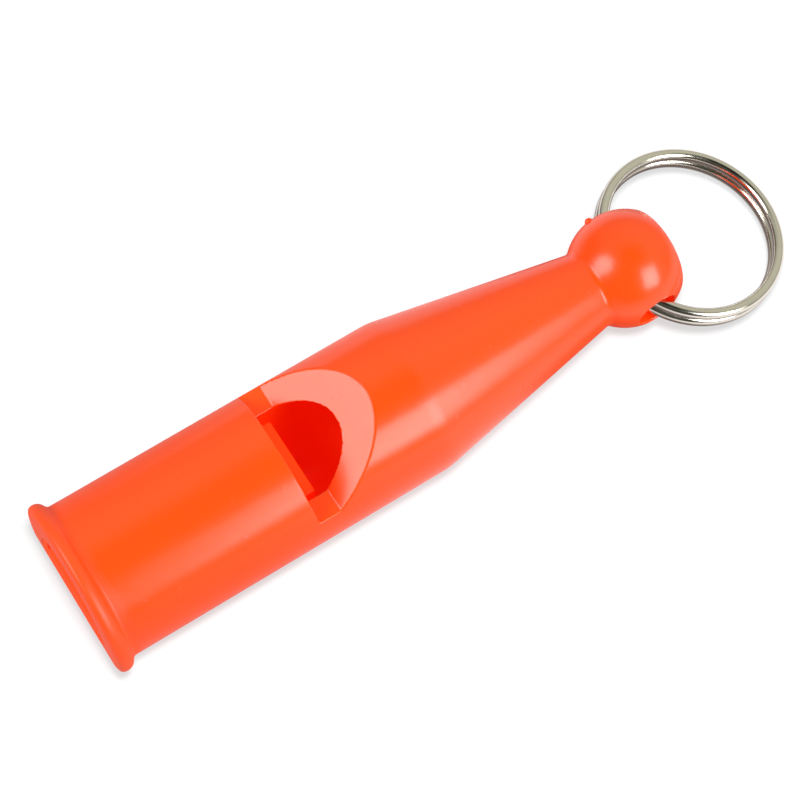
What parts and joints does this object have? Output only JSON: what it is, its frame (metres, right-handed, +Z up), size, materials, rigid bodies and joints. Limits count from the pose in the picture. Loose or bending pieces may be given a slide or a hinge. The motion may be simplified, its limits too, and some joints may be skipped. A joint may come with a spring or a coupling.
{
  "type": "dog whistle",
  "caption": "Pealess dog whistle: round barrel with lipped mouth, windway plug, sound window, conical tail and a ball end with a split ring for a lanyard.",
  "frame": {"origin": "under the middle of the whistle's box, on the surface that the barrel lies on", "axes": "+X along the whistle from the mouth to the ring, +Z up through the sound window, +Y across"},
  "size_m": [0.0852, 0.0207, 0.0179],
  "materials": {
    "body_plastic": "moulded fluorescent orange, smooth satin gloss",
    "plug_plastic": "moulded fluorescent orange, smooth satin gloss",
    "ring_nickel": "nickel-plated steel, bright"
  },
  "bodies": {
    "whistle": {"whistle_body": "body_plastic", "windway_plug": "plug_plastic"},
    "ring": {"split_ring": "ring_nickel"}
  },
  "joints": [
    {"name": "ring_swing", "type": "hinge", "parent": "whistle", "child": "ring", "pos_m": [0.02394, 0, 0.0085], "axis": [0, 1, 0], "range_deg": [-159, 134]}
  ]
}
